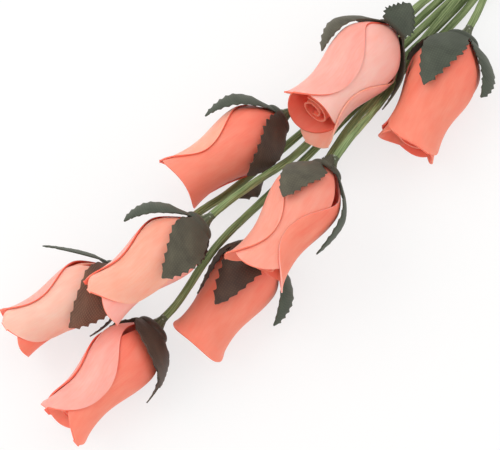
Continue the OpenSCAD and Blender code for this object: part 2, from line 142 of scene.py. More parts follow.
# Smooth matte paint: plain white to the eye, with nothing on it but soft shadows
floor_paint, tree = new_material("white_table")
lit = add(tree, "ShaderNodeBsdfDiffuse", {"Color": linear("#F7F6F4")})
white = add(tree, "ShaderNodeEmission", {"Color": (1, 1, 1, 1), "Strength": 1.0})
ray = add(tree, "ShaderNodeLightPath")
seen = add(tree, "ShaderNodeMath", {0: ray.outputs["Is Camera Ray"], 1: ray.outputs["Is Glossy Ray"]},
           operation="MAXIMUM")
seen = add(tree, "ShaderNodeMath", {0: seen.outputs[0], 1: ray.outputs["Is Transmission Ray"]},
           operation="MAXIMUM")
share = add(tree, "ShaderNodeMath", {0: seen.outputs[0], 1: FLOOR_WHITE_SHARE}, operation="MULTIPLY")
mixed = add(tree, "ShaderNodeMixShader", {0: share.outputs[0], 1: lit.outputs[0], 2: white.outputs[0]})
add(tree, "ShaderNodeOutputMaterial", {"Surface": mixed.outputs[0]})

floor_mesh = bpy.data.meshes.new("table")
half = FLOOR_SIZE / 2
corners = [(-half, -half, 0), (half, -half, 0), (half, half, 0), (-half, half, 0)]
floor_mesh.from_pydata(corners, [], [(0, 1, 2, 3)])
floor_mesh.materials.append(floor_paint)
floor = bpy.data.objects.new("table", floor_mesh)
bpy.context.scene.collection.objects.link(floor)
print("table", FLOOR_SIZE, "m across")

# %% Light the table
LAMP_SIZE = 0.9
LAMP_DISTANCE = 1.3
LAMP_POWER = 3.6
# Which way the lamp lies: to the picture's left, up the picture, and above the table
LAMP_LEFT = 0.75
LAMP_UP = 0.30
LAMP_ABOVE = 0.85
WORLD_STRENGTH = 1.0

to_lamp = (-LAMP_LEFT * picture_right + LAMP_UP * picture_up + Vector((0, 0, LAMP_ABOVE))).normalized()
lamp_data = bpy.data.lights.new("soft_lamp", "AREA")
lamp_data.shape = "DISK"
lamp_data.size = LAMP_SIZE
lamp_data.energy = LAMP_POWER
lamp = bpy.data.objects.new("soft_lamp", lamp_data)
lamp.matrix_world = (
    Matrix.Translation(VIEW_AIM + to_lamp * LAMP_DISTANCE)
    @ to_lamp.to_track_quat("Z", "Y").to_matrix().to_4x4()
)
bpy.context.scene.collection.objects.link(lamp)

world = bpy.data.worlds.new("white_room")
world.use_nodes = True
tree = world.node_tree
tree.nodes.clear()
# The camera sees plain white, whatever the strength of the light from the room
ray = add(tree, "ShaderNodeLightPath")
room = add(tree, "ShaderNodeBackground", {"Color": (1, 1, 1, 1), "Strength": WORLD_STRENGTH})
sky = add(tree, "ShaderNodeBackground", {"Color": (1, 1, 1, 1), "Strength": 1.0})
both = add(tree, "ShaderNodeMixShader", {
    0: ray.outputs["Is Camera Ray"], 1: room.outputs[0], 2: sky.outputs[0]})
add(tree, "ShaderNodeOutputWorld", {"Surface": both.outputs[0]})
bpy.context.scene.world = world
print("lamp at", [round(x, 2) for x in lamp.location])

# %% [markdown]
# ## Dyed wood shavings
#
# A petal is a shaving of pale wood a little over half a millimetre thick, steamed, curled and dyed. Dye
# sinks in unevenly: it leaves fine streaks along the grain, and each shaving comes out a little pinker or
# more orange than the next. Towards the base the colour is darker, and towards the rim it is paler: that is
# painted light, for the lit rims. One tone, a paler pink, is painted light too. A picture could be painted
# for every petal, but noise stretched along the grain does for all of them, so there is one recipe, called
# once for each
# tone. It reads two maps of the petal: one in millimetres for the grain and one that runs from 0 to 1.

# %% Wood materials
# Widths, lengths and depths in millimetres, the rest as shares of 1
GRAIN_WIDTH = 0.55
GRAIN_LENGTH = 9.0
GRAIN_DEPTH = 0.06
GRAIN_SHARE = 0.45
MOTTLE_WIDTH = 3.75
MOTTLE_LENGTH = 10.0
MOTTLE_SHARE = 0.75
LIGHT_DEPTH = 1.5
DEEP_SHARE = 0.55
DEEP_FADE = (0.15, 0.6)
# Painted light on the rims: how much paler they are, and over which share of the height
RIM_LIGHT_SHARE = 0.5
RIM_LIGHT_FADE = (0.5, 0.95)


def dyed_shaving(name, pale, middle, deep):
    # Dyed lime or poplar shaving, planed and steamed: satin, streaked along the grain, slightly see-through
    material, tree = new_material(name)
    mm_map = add(tree, "ShaderNodeUVMap", uv_map="mm")
    share_map = add(tree, "ShaderNodeUVMap", uv_map="share")
    share_split = add(tree, "ShaderNodeSeparateXYZ", {0: share_map.outputs[0]})
    stretched = add(tree, "ShaderNodeMapping", {
        0: mm_map.outputs[0], "Scale": (1 / GRAIN_WIDTH, 1 / GRAIN_LENGTH, 1)})
    grain = add(tree, "ShaderNodeTexNoise", {
        "Vector": stretched.outputs[0], "Scale": 1.0, "Detail": 3.0, "Roughness": 0.6})
    spread = add(tree, "ShaderNodeMapping", {
        0: mm_map.outputs[0], "Scale": (1 / MOTTLE_WIDTH, 1 / MOTTLE_LENGTH, 1)})
    mottle = add(tree, "ShaderNodeTexNoise", {"Vector": spread.outputs[0], "Scale": 1.0, "Detail": 2.0})
    tone = add(tree, "ShaderNodeMath", {0: grain.outputs[0], 1: GRAIN_SHARE}, operation="MULTIPLY")
    tone = add(tree, "ShaderNodeMath", {0: mottle.outputs[0], 1: MOTTLE_SHARE, 2: tone.outputs[0]},
               operation="MULTIPLY_ADD")
    dye = add(tree, "ShaderNodeValToRGB", {0: tone.outputs[0]}, stops=[(0.36, middle), (0.78, pale)])
    # The colour is darker towards the base of the petal
    base = add(tree, "ShaderNodeMapRange", {
        0: share_split.outputs[1], 1: DEEP_FADE[0], 2: DEEP_FADE[1], 3: DEEP_SHARE, 4: 0.0},
        interpolation_type="SMOOTHSTEP")
    colour = add(tree, "ShaderNodeMix", {
        0: base.outputs[0], 6: dye.outputs[0], 7: linear(deep)}, data_type="RGBA")
    # Painted light: the colour turns paler towards the rim, for the lit rims
    rim = add(tree, "ShaderNodeMapRange", {
        0: share_split.outputs[1], 1: RIM_LIGHT_FADE[0], 2: RIM_LIGHT_FADE[1], 3: 0.0, 4: RIM_LIGHT_SHARE},
        interpolation_type="SMOOTHSTEP")
    colour = add(tree, "ShaderNodeMix", {
        0: rim.outputs[0], 6: colour.outputs[2], 7: linear(pale)}, data_type="RGBA")
    gloss = add(tree, "ShaderNodeMapRange", {0: grain.outputs[0], 1: 0.3, 2: 0.7, 3: 0.42, 4: 0.56})
    bump = add(tree, "ShaderNodeBump", {
        "Height": grain.outputs[0], "Strength": 0.35, "Distance": GRAIN_DEPTH * MM})
    shader = add(tree, "ShaderNodeBsdfPrincipled", {
        "Base Color": colour.outputs[2], "Roughness": gloss.outputs[0], "IOR": 1.5, "Normal": bump.outputs[0],
        "Subsurface Weight": 0.45, "Subsurface Radius": (1.0, 0.3, 0.2), "Subsurface Scale": LIGHT_DEPTH * MM,
        "Specular IOR Level": 0.35})
    add(tree, "ShaderNodeOutputMaterial", {"Surface": shader.outputs[0]})
    return material


PINK = dyed_shaving("dyed_shaving_pink", "#FFB6A9", "#FF9C8D", "#FB8070")
PEACH = dyed_shaving("dyed_shaving_peach", "#FFB69E", "#FF9D82", "#F97F67")
CORAL = dyed_shaving("dyed_shaving_coral", "#FF937A", "#FC7B62", "#F4604C")
INSIDE = dyed_shaving("dyed_shaving_inside", "#FF8068", "#FF6A54", "#FA5040")
# Painted light: a paler copy of the pink, for a petal on the side that the lamp leaves in shade
PAINTED_LIGHT_PINK = dyed_shaving("dyed_shaving_pink_painted_light", "#FFC6BA", "#FFB0A2", "#FC9282")
CREAM = dyed_shaving("dyed_shaving_cream", "#FFC8B5", "#FFB29C", "#FA937F")
SALMON = dyed_shaving("dyed_shaving_salmon", "#FFA893", "#FF907A", "#F77762")
TONES = {"pink": PINK, "peach": PEACH, "coral": CORAL, "deep": INSIDE, "blush": PAINTED_LIGHT_PINK, "cream": CREAM,
         "salmon": SALMON}
print("wood tones:", ", ".join(TONES))

# %% [markdown]
# ## Calyx cloth and paper tape
#
# The calyx is plain-woven cloth, dyed dark green or brown and stiffened, so that it can be cut with pinking
# shears and keeps its shape. The stiffener dulls the weave, and at a low angle the fibres catch a grey light,
# which the sheen gives. The tape on the stems is crepe paper: matte, with long creases from stretching.
# Threads and creases could be modelled, but from this far two crossed waves and streaky noise look the same.

# %% Cloth materials
THREAD = 1.0
THREAD_DEPTH = 0.15
# A wave texture of scale 1 turns through 20 radians in one unit
WAVE_TURN = 20.0
PATCH = 9.0
SHADE_SHARE = 0.75
SHADE_FADE = (0.2, 0.55)


def stiff_cloth(name, lit_side, shade_side, weave_shows):
    # Starched plain weave: a fine grid of threads, dark and matte, with a grey sheen
    # The real threads lie about 0.4 mm apart; they are drawn coarser so that they show
    material, tree = new_material(name)
    mm_map = add(tree, "ShaderNodeUVMap", uv_map="mm")
    share_map = add(tree, "ShaderNodeUVMap", uv_map="share")
    share_split = add(tree, "ShaderNodeSeparateXYZ", {0: share_map.outputs[0]})
    warp, weft = [
        add(tree, "ShaderNodeTexWave", {
            "Vector": mm_map.outputs[0], "Scale": 2 * pi / WAVE_TURN / THREAD, "Distortion": 0.6,
            "Detail": 1.0}, bands_direction=direction)
        for direction in ("X", "Y")]
    weave = add(tree, "ShaderNodeMath", {0: warp.outputs["Fac"], 1: weft.outputs["Fac"]},
                operation="MULTIPLY")
    patch = add(tree, "ShaderNodeTexNoise", {"Vector": mm_map.outputs[0], "Scale": 1 / PATCH, "Detail": 3.0})
    tone = add(tree, "ShaderNodeMath", {0: weave.outputs[0], 1: weave_shows, 2: patch.outputs[0]},
               operation="MULTIPLY_ADD")
    dye = add(tree, "ShaderNodeValToRGB", {0: tone.outputs[0]}, stops=[(0.36, shade_side), (0.82, lit_side)])
    base = add(tree, "ShaderNodeMapRange", {
        0: share_split.outputs[1], 1: SHADE_FADE[0], 2: SHADE_FADE[1], 3: SHADE_SHARE, 4: 0.0},
        interpolation_type="SMOOTHSTEP")
    colour = add(tree, "ShaderNodeMix", {
        0: base.outputs[0], 6: dye.outputs[0], 7: linear(shade_side)}, data_type="RGBA")
    bump = add(tree, "ShaderNodeBump", {
        "Height": weave.outputs[0], "Strength": weave_shows, "Distance": THREAD_DEPTH * MM})
    shader = add(tree, "ShaderNodeBsdfPrincipled", {
        "Base Color": colour.outputs[2], "Roughness": 0.62, "IOR": 1.46, "Normal": bump.outputs[0],
        "Sheen Weight": 0.15, "Sheen Roughness": 0.45, "Sheen Tint": linear("#C6C8B8")})
    add(tree, "ShaderNodeOutputMaterial", {"Surface": shader.outputs[0]})
    return material


GREEN_CLOTH = stiff_cloth("stiff_cloth_green", "#4F5646", "#363B2F", 0.2)
OLIVE_CLOTH = stiff_cloth("stiff_cloth_olive", "#645F4C", "#423D30", 0.14)
BROWN_CLOTH = stiff_cloth("stiff_cloth_brown", "#574132", "#38281E", 0.24)
TAN_CLOTH = stiff_cloth("stiff_cloth_tan", "#80604B", "#573F31", 0.5)
CLOTHS = {"green": GREEN_CLOTH, "olive": OLIVE_CLOTH, "brown": BROWN_CLOTH, "tan": TAN_CLOTH}
print("cloths:", ", ".join(CLOTHS))

# %% Tape materials
STREAK_WIDTH = 0.45
STREAK_LENGTH = 14.0
CREASE_DEPTH = 0.15
GLINT_SPOT = 2.0
GLINT_EDGE = (0.57, 0.63)


def crepe_tape(name, light, mid, dark, glint_share):
    # Waxed crepe paper, stretched as it is wound: matte, with long pale and dark creases
    # Under a calyx it has pale spots of painted glint, which are also less rough than the paper
    material, tree = new_material(name)
    mm_map = add(tree, "ShaderNodeUVMap", uv_map="mm")
    stretched = add(tree, "ShaderNodeMapping", {
        0: mm_map.outputs[0], "Scale": (1 / STREAK_WIDTH, 1 / STREAK_LENGTH, 1)})
    streak = add(tree, "ShaderNodeTexNoise", {
        "Vector": stretched.outputs[0], "Scale": 1.0, "Detail": 3.0, "Roughness": 0.55})
    dye = add(tree, "ShaderNodeValToRGB", {0: streak.outputs[0]},
              stops=[(0.3, dark), (0.5, mid), (0.72, light)])
    spots = add(tree, "ShaderNodeTexNoise", {
        "Vector": mm_map.outputs[0], "Scale": 1 / GLINT_SPOT, "Detail": 1.0})
    # Painted glints: pale spots, which are also given a lower roughness
    glued = add(tree, "ShaderNodeMapRange", {
        0: spots.outputs[0], 1: GLINT_EDGE[0], 2: GLINT_EDGE[1], 3: 0.0, 4: glint_share})
    colour = add(tree, "ShaderNodeMix", {
        0: glued.outputs[0], 6: dye.outputs[0], 7: linear("#CFD2C4")}, data_type="RGBA")
    gloss = add(tree, "ShaderNodeMapRange", {0: glued.outputs[0], 3: 0.58, 4: 0.25})
    bump = add(tree, "ShaderNodeBump", {
        "Height": streak.outputs[0], "Strength": 0.6, "Distance": CREASE_DEPTH * MM})
    shader = add(tree, "ShaderNodeBsdfPrincipled", {
        "Base Color": colour.outputs[2], "Roughness": gloss.outputs[0], "IOR": 1.45,
        "Normal": bump.outputs[0], "Specular IOR Level": 0.35})
    add(tree, "ShaderNodeOutputMaterial", {"Surface": shader.outputs[0]})
    return material


STEM_TAPE = crepe_tape("crepe_tape_stem", "#A4B17E", "#788958", "#4F5F39", 0.0)
# The neck tape alone has the painted glints
NECK_TAPE = crepe_tape("crepe_tape_neck", "#7C8262", "#565C44", "#393E2E", 0.45)
TIE_TAPE = crepe_tape("crepe_tape_tie", "#949B6E", "#6C754B", "#475030", 0.0)
print("tapes:", ", ".join(tape.name for tape in (STEM_TAPE, NECK_TAPE, TIE_TAPE)))

# %% [markdown]
# ## How the bunch is laid
#
# Sizes are those of the frame, in millimetres, and angles are in degrees. Each rose could be shaped on its
# own, but the real ones are made to one pattern. So every rose is the same bud, turned and scaled: one
# outline gives its radius at every height, and one table says where each rose lies.

# %% Outline of a bud
BUD_LENGTH = 50.0
BULGE_D = 27.0
WAIST_D = 20.0
MOUTH_D = 23.6
BASE_D = 6.0
BULGE_H = 15.5
WAIST_H = 38.0


def bud_r(z, rim_r):
    if z < BULGE_H:
        return BASE_D / 2 + (BULGE_D - BASE_D) / 2 * sin(pi / 2 * z / BULGE_H)
    if z < WAIST_H:
        return WAIST_D / 2 + (BULGE_D - WAIST_D) / 4 * (1 + cos(pi * (z - BULGE_H) / (WAIST_H - BULGE_H)))
    return WAIST_D / 2 + (rim_r - WAIST_D / 2) * ((z - WAIST_H) / (BUD_LENGTH - WAIST_H)) ** 2


def round_axis(r, degrees, z):
    return Vector((r * cos(radians(degrees)), r * sin(radians(degrees)), z))


print("a bud is", BUD_LENGTH, "mm long and", BULGE_D, "mm wide")

# %% Places of the roses
CLOTH_T = 0.5
CLOTH_GAP = 0.4
FOOT_H = CLOTH_T + CLOTH_GAP
STEM_D = 3.2
BEND_GAP = 0.35
MIDDLE = Vector((77.5, 7.5, 0))

# Each rose: neck, heading in plan, tilt of the tip, size
PLACES = [
    ((99, 9, 21), 180, 9, 1.05),
    ((117, -12.5, 16.5), 194, 2, 1.06),
    ((43.5, 18.5, 18.5), 166, 0, 0.97),
    ((33.5, -12.5, 40), 187, 1, 0.99),
    ((-14.5, 8.5, 39.5), 170, -3.5, 0.97),
    ((1, -10.5, 16), 185.5, -3, 0.98),
    ((-45, 24.5, 15.5), 163, -2, 0.94),
    ((-52, 0, 16.5), 178.5, -2, 1.03),
]
NECK, HEADING, TILT, SIZE = range(4)
ROSES = range(len(PLACES))


def neck(i):
    return (Vector(PLACES[i][NECK]) - MIDDLE) * MM


def heading(i):
    turn, tilt = radians(PLACES[i][HEADING]), radians(PLACES[i][TILT])
    return Vector((cos(tilt) * cos(turn), cos(tilt) * sin(turn), sin(tilt)))


def bloom_matrix(i):
    size = PLACES[i][SIZE]
    turned = Euler((0, radians(90 - PLACES[i][TILT]), radians(PLACES[i][HEADING]))).to_matrix().to_4x4()
    raised = Matrix.Translation((0, 0, (STEM_D / 2 + BEND_GAP + FOOT_H * size) * MM))
    return Matrix.Translation(neck(i)) @ turned @ raised @ Matrix.Scale(size * MM, 4)


print("roses:", len(PLACES))

# %% [markdown]
# ## Sheets of points
#
# Petals, hearts and sepals are all thin sheets. Each one is written as a rule that gives a point for two
# numbers from 0 to 1, sampled on a grid. A plane could be bent by hand instead, but a rule is easy to fit to
# the bud and to change. The Solidify modifier then gives the sheet its thickness, with the inside in a colour
# of its own, and the result is kept as a plain mesh. Two UV maps go with every sheet.

# %% Make a sheet from a rule
def sheet_mesh(name, rule, rows, cols, materials):
    points = [[rule(row / rows, col / cols) for col in range(cols + 1)] for row in range(rows + 1)]
    mesh = bpy.data.meshes.new(name)
    wide = cols + 1
    mesh.from_pydata(
        [p for line in points for p in line], [],
        [(r * wide + c, r * wide + c + 1, (r + 1) * wide + c + 1, (r + 1) * wide + c)
         for r in range(rows) for c in range(cols)])
    # Lengths along and across the sheet, for the map in millimetres
    along = [[0.0] * wide for _ in points]
    for r in range(1, rows + 1):
        for c in range(wide):
            along[r][c] = along[r - 1][c] + (points[r][c] - points[r - 1][c]).length
    across = [[0.0] * wide for _ in points]
    for r in range(rows + 1):
        for c in range(1, wide):
            across[r][c] = across[r][c - 1] + (points[r][c] - points[r][c - 1]).length
        middle = across[r][cols // 2]
        across[r] = [a - middle for a in across[r]]
    mm_layer = mesh.uv_layers.new(name="mm")
    share_layer = mesh.uv_layers.new(name="share")
    for loop in mesh.loops:
        r, c = divmod(loop.vertex_index, wide)
        mm_layer.data[loop.index].uv = (across[r][c], along[r][c])
        share_layer.data[loop.index].uv = (c / cols, r / rows)
    for material in materials:
        mesh.materials.append(material)
    return mesh


print("maps of a sheet: mm and share")

# %% Give a sheet its thickness
SHARP_TURN = 50


def keep_modifiers(piece):
    shown = piece.evaluated_get(bpy.context.evaluated_depsgraph_get())
    done = bpy.data.meshes.new_from_object(shown)
    done.name = piece.data.name
    piece.modifiers.clear()
    piece.data = done


def thicken(piece, thickness, inside_slot=0, rim_slot=0):
    solid = piece.modifiers.new("thickness", "SOLIDIFY")
    solid.thickness = thickness
    solid.offset = 0
    solid.material_offset = inside_slot
    solid.material_offset_rim = rim_slot
    keep_modifiers(piece)
    piece.data.shade_smooth()
    piece.data.set_sharp_from_angle(angle=radians(SHARP_TURN))
    return piece


def new_piece(name, mesh):
    piece = bpy.data.objects.new(name, mesh)
    bpy.context.scene.collection.objects.link(piece)
    return piece


print("edges that turn by more than", SHARP_TURN, "degrees stay sharp")

# %% [markdown]
# ## Petals
#
# A shaving is cut to a leaf or to a fan, soaked, and curled round the bud with its neighbours. A leaf narrows
# to its base and to its tip, so its two long edges show as curved seams on the bud. A fan, most often further
# in, keeps its width up to the rim. The outer rims curl out by half a millimetre, and no two shavings curl
# alike, which a few slow waves give. Flat planes could be bent into place one by one, but a rule that lays
# every shaving on the outline of the bud keeps the layers apart.

# %% Shapes of the petals
PETAL_NAMES = ("outer_petal_a", "outer_petal_b", "inner_petal_a", "inner_petal_b")

# Each petal: facing round the bud, half of its angle, height of its tip, drop of its rim to the sides,
# layer, how pointed it is (0 is a fan), dye outside, dye inside
PETALS = [
    [(50, 77, 51, 0, 0, 0.6, "pink", "deep"), (-138, 84, 52.5, 0, 0, 0.35, "pink", "peach"),
     # The first rose's fan facing -20 takes the paler pink, which is painted light
     (-20, 72, 48.8, 4, 1, 0, "blush", "deep"), (150, 94, 50.5, 4, 1, 0, "peach", "deep")],
    [(-15, 95, 52, 0, 0, 0.4, "coral", "deep"), (165, 76, 47, 1, 0, 0, "coral", "deep"),
     (80, 88, 50.5, 4, 1, 0, "coral", "coral"), (-75, 55, 51.5, 4, 1, 0, "coral", "coral")],
    [(92, 76, 51, 0, 0, 0.9, "peach", "deep"), (-150, 36, 46, 0, 0, 0.6, "coral", "deep"),
     (-13, 92, 51.6, 1, 1, 0, "coral", "deep"), (170, 78, 46, 2, 1, 0, "coral", "deep")],
    [(86, 79, 52, 0, 0, 0.5, "salmon", "coral"), (-90, 77, 51.5, 0, 0, 0.85, "coral", "pink"),
     (17, 78, 53, 7, 1, 0, "salmon", "deep"), (188, 85, 47.5, 1, 1, 0, "coral", "coral")],
    [(110, 62, 50, 0, 0, 0.8, "pink", "deep"), (20, 105, 52, 0, 1, 1.0, "peach", "deep"),
     (-70, 70, 52.5, 3, 2, 0, "pink", "deep"), (125, 88, 49, 3, 2, 0, "pink", "deep")],
    [(-15, 95, 52.6, 6, 0, 0, "coral", "deep"), (168, 70, 47, 2, 0, 0, "coral", "deep"),
     (80, 80, 47.5, 2, 1, 0, "coral", "deep"), (-100, 80, 48, 2, 1, 0, "coral", "deep")],
    [(108, 76, 49.6, 0, 0, 0.4, "pink", "deep"), (12, 96, 52, 0, 1, 0.75, "cream", "deep"),
     (-73, 70, 51.5, 3, 2, 0, "coral", "deep"), (125, 86, 49, 3, 2, 0, "peach", "deep")],
    [(130, 76, 50, 0, 0, 0.8, "pink", "deep"), (48, 81, 50.5, 0, 1, 0.6, "pink", "deep"),
     (-60, 92, 52.5, 0, 2, 0.75, "coral", "deep"), (120, 80, 50.5, 3, 2, 0, "coral", "coral")],
]
# Where a petal's row holds its layer and how pointed it is
LAYER = 4
POINT = 5
fans = sum(petal[POINT] == 0 for rose in PETALS for petal in rose)
print("leaves:", len(PETAL_NAMES) * len(PLACES) - fans, "fans:", fans)

# %% Rule for a petal
PETAL_T = 0.6
PETAL_WIDEST = 0.66
LEAF_FOOT = 0.06
FAN_FOOT = 0.85
TIP_SHARE = 0.05
LIP_H = 4.0
LIP_OUT = 0.5
WAVE = 0.1
WAVE_ACROSS = 3.1
WAVE_UP = 0.16
# How far a wave is shifted from one petal to the next, in radians: across, up and along the rim
WAVE_SHIFTS = (1.7, 0.9, 2.4)
RIM_WAVE = 0.7
RIM_TURNS = 4.2
SHOWN_GAP = 0.2
SHOWN_LIFT = 0.25
LIFT_POWER = 4
LAYER_STEP = PETAL_T + SHOWN_GAP
LAYER_FOOT = 0.8


def petal_width(t, point, foot):
    rising = foot + (1 - foot) * sin(pi / 2 * min(1, t / PETAL_WIDEST)) ** 2
    falling = cos(pi / 2 * max(0, (t - PETAL_WIDEST) / (1 - PETAL_WIDEST)))
    return rising * max(TIP_SHARE, falling) ** point


def petal_rule(facing, half_angle, tip_h, drop, layer, point, seed):
    foot = LEAF_FOOT if point and layer < 2 else FAN_FOOT
    start = layer * LAYER_FOOT
    across_shift, up_shift, rim_shift = (seed * shift for shift in WAVE_SHIFTS)

    def rule(s, across):
        u = 2 * across - 1
        t = (1 - cos(pi * s)) / 2
        rim = tip_h - drop * u ** 2
        if not point:
            rim += RIM_WAVE * (sin(RIM_TURNS * u + rim_shift) - 1)
        z = start + (rim - start) * t
        curl = max(0.0, 1 - (rim - z) / LIP_H)
        wave = WAVE * sin(WAVE_ACROSS * u + across_shift) * sin(WAVE_UP * z + up_shift) * z / BUD_LENGTH
        lift = SHOWN_LIFT * abs(u) ** LIFT_POWER * z / BUD_LENGTH
        r = bud_r(z, MOUTH_D / 2) - layer * LAYER_STEP + lift
        r += (LIP_OUT * curl ** 2 if layer == 0 else 0) + wave
        return round_axis(r, 180 + facing + half_angle * petal_width(t, point, foot) * u, z)
    return rule


print("halfway up, a pointed leaf has", round(petal_width(0.5, 1, LEAF_FOOT), 2), "of its full width")

# %% Make the petals
PETAL_ROWS = 64
PETAL_COLS = 40

for i in ROSES:
    for n, petal_name in enumerate(PETAL_NAMES):
        node = f"rose_{i + 1}_{petal_name}"
        *shape, outside, inside = PETALS[i][n]
        rule = petal_rule(*shape, len(PETAL_NAMES) * i + n)
        mesh = sheet_mesh(node, rule, PETAL_ROWS, PETAL_COLS, [TONES[outside], TONES[inside]])
        petal = thicken(new_piece(node + "_curled", mesh), PETAL_T, inside_slot=1, rim_slot=1)
        petal.data.transform(bloom_matrix(i))
        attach(petal, f"rose_{i + 1}")
        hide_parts(node)
print("petals:", len(PETAL_NAMES) * len(PLACES))

# %% [markdown]
# ## Hearts
#
# The heart is one shaving rolled into a loose spiral. A Screw modifier could roll a strip up, but the heart
# stands on the innermost petals and has to narrow to fit them. So it is a rule again, which runs once along
# the roll and once up it.

# %% Make the hearts
HEART_D = 13.4
HEART_H = 46.5
HEART_TURNS = 1.6
HEART_T = 0.7
HEART_GAP = 0.4
HEART_CORE = 0.15
HEART_CORE_R = HEART_D * HEART_CORE
HEART_WIDEN = 1.4
HEART_STEPS = 90
HEART_ROWS = 30


def heart_rule(layers):
    foot_h = LAYER_FOOT * layers
    foot_r = bud_r(foot_h, MOUTH_D / 2) - (layers - 1) * LAYER_STEP - PETAL_T / 2 - HEART_GAP
    foot_scale = min(1, foot_r / (HEART_D / 2))

    def rule(s, roll):
        widen = foot_scale + (1 - foot_scale) * sin(pi / 2 * min(1, HEART_WIDEN * s))
        r = HEART_CORE_R + (HEART_D / 2 - HEART_T / 2 - HEART_CORE_R) * roll
        return round_axis(r * widen, 360 * HEART_TURNS * roll, foot_h + (HEART_H - foot_h) * s)
    return rule


for i in ROSES:
    node = f"rose_{i + 1}_heart"
    layers = 1 + max(petal[LAYER] for petal in PETALS[i])
    mesh = sheet_mesh(node, heart_rule(layers), HEART_ROWS, HEART_STEPS, [CORAL, INSIDE])
    heart = thicken(new_piece(node + "_rolled", mesh), HEART_T, inside_slot=1)
    heart.data.transform(bloom_matrix(i))
    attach(heart, f"rose_{i + 1}")
    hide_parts(node)
print("hearts:", len(PLACES))

# %% [markdown]
# ## Calyces
#
# The calyx is cut from one piece of cloth with pinking shears: a foot glued round the stem, a ring, and four
# broad sepals with toothed edges. Some lie on the bud, some stand off it, and two are folded right back. A
# cloth simulation could drape them, but stiffened cloth keeps the bends that it was given, so each sepal is a
# sheet with a rule: it runs from the foot to its tip, follows the bud, is opened away from it by an angle,
# and is flatter across than the bud is. The four sheets share their edges in the ring, where they are joined.
# Laid flat, the sepals lie along the diagonals of a square, so the longer pair gives the size of the square.

# %% Shapes of the sepals
# Each sepal: facing round the bud, width, height of its tip when laid on the bud, angle that it is opened by,
# how far its tip leans round the bud, how far its lower edge is turned out, dye
SEPALS = [
    [(-170, 13, 14, 0, 0, 0, "olive"), (-100, 10, 26, 5, -5, 0, "olive"),
     (-12, 15, 9.6, 130, 12, 0, "green"), (74, 14, 26, 0, 8, 27, "olive")],
    [(-165, 13, 14, 0, 0, 0, "olive"), (-64, 16, 20, 3, -16, -16, "green"),
     (18, 17, 30, 2, -4, 0, "green"), (105, 14, 16, 4, 0, 0, "olive")],
    [(-200, 13, 14, 0, 0, 0, "brown"), (-129, 15.5, 34, 4.5, 39, -29, "brown"),
     (-37, 18, 27, 3, -28, 0, "brown"), (54, 13, 26, 4, 18, 20, "green")],
    [(-200, 13, 14, 0, 0, 0, "olive"), (-92, 12, 31, 2.5, -6, -12, "green"),
     (0, 6, 5.8, 112, 0, 0, "olive"), (30, 18, 24, 2, -10, 0, "olive")],
    [(-150, 13, 14, 0, 0, 0, "brown"), (-20, 20, 27, 2, -22, 0, "olive"),
     (70, 14, 23.5, 7, 4, 25, "green"), (150, 12, 16, 2, 0, 0, "olive")],
    [(-180, 13, 14, 1, 0, 0, "olive"), (-90, 13, 25, 8, -5, -30, "green"),
     (8, 18, 34, 2, -6, 0, "brown"), (54, 5, 34, 2, -15, 0, "brown")],
    [(-165, 13, 14, 0, 0, 0, "brown"), (-95, 10, 24, 3, -4, 0, "brown"),
     (-15, 22.5, 30, 2, -36, 0, "tan"), (83, 11, 21, 19, 0, 23, "green")],
    [(-128, 9, 23, 4, 28, 0, "olive"), (-25, 26, 16, 6, -66, 0, "brown"),
     (120, 10, 16, 2, 0, 0, "olive"), (185, 12, 14, 0, 0, 0, "olive")],
]

# Where a sepal's row holds its facing, how far it is opened and its dye
FACING = 0
OPENED = 3
DYE = 6
# A sepal that lies close on the bud for a share of its length before it stands off, by the numbers of the
# rose and of the sepal, both counted from 0
CLOSE_SEPALS = {(2, 1): 0.42}
print("sepals:", sum(len(rose) for rose in SEPALS),
      "folded back:", sum(sepal[OPENED] > 90 for rose in SEPALS for sepal in rose))

# %% Edge of a sepal
SEPAL_WIDEST = 0.38
SEPAL_TAPER = 0.58
SEPAL_BASE = 0.68
TOOTH = 2.2
TOOTH_VARIES = 0.3
TOOTH_PEAK = 0.75
# How far the teeth's wave of sizes is shifted from tooth to tooth and from edge to edge, in radians
TOOTH_SHIFTS = (12.9, 4.1)
TEETH = 8
ROWS_A_TOOTH = 5
SEPAL_ROWS = TEETH * ROWS_A_TOOTH


def sepal_half_width(share, width):
    if share < SEPAL_WIDEST:
        return width / 2 * (SEPAL_BASE + (1 - SEPAL_BASE) * sin(pi / 2 * share / SEPAL_WIDEST))
    return width / 2 * ((1 - share) / (1 - SEPAL_WIDEST)) ** SEPAL_TAPER


def tooth_depth(row, seed):
    number, place = divmod(row / ROWS_A_TOOTH, 1)
    tooth_step, edge_step = TOOTH_SHIFTS
    size = 1 - TOOTH_VARIES + TOOTH_VARIES * sin(tooth_step * number + edge_step * seed)
    if place < TOOTH_PEAK:
        return TOOTH * size * place
    return TOOTH * size * (1 - place) * TOOTH_PEAK / (1 - TOOTH_PEAK)


deepest = max(tooth_depth(row, 0) for row in range(SEPAL_ROWS))
print("teeth are up to", round(deepest, 2), "mm deep")

# %% Rule for a sepal
COLLAR_H = 2.0
COLLAR_D = 7.0
EDGE_LIFT = 0.5
CLOTH_OFF = PETAL_T / 2 + EDGE_LIFT + CLOTH_GAP + CLOTH_T / 2
FOOT_ROWS = 10
FOOT_CURVE = 1.5
SEPAL_START = 0.15
SEPAL_BEND = 0.4
FLATNESS = 1.35
FLAT_TURN = 60.0
STRAIGHT_TURN = 20.0
SLOPE_STEP = 0.1
TOOTH_FADE = 3
CLOSE_BY = 0.5
CLOSE_RAMP = 0.3


def cloth_r(z):
    return bud_r(z, MOUTH_D / 2) + CLOTH_OFF


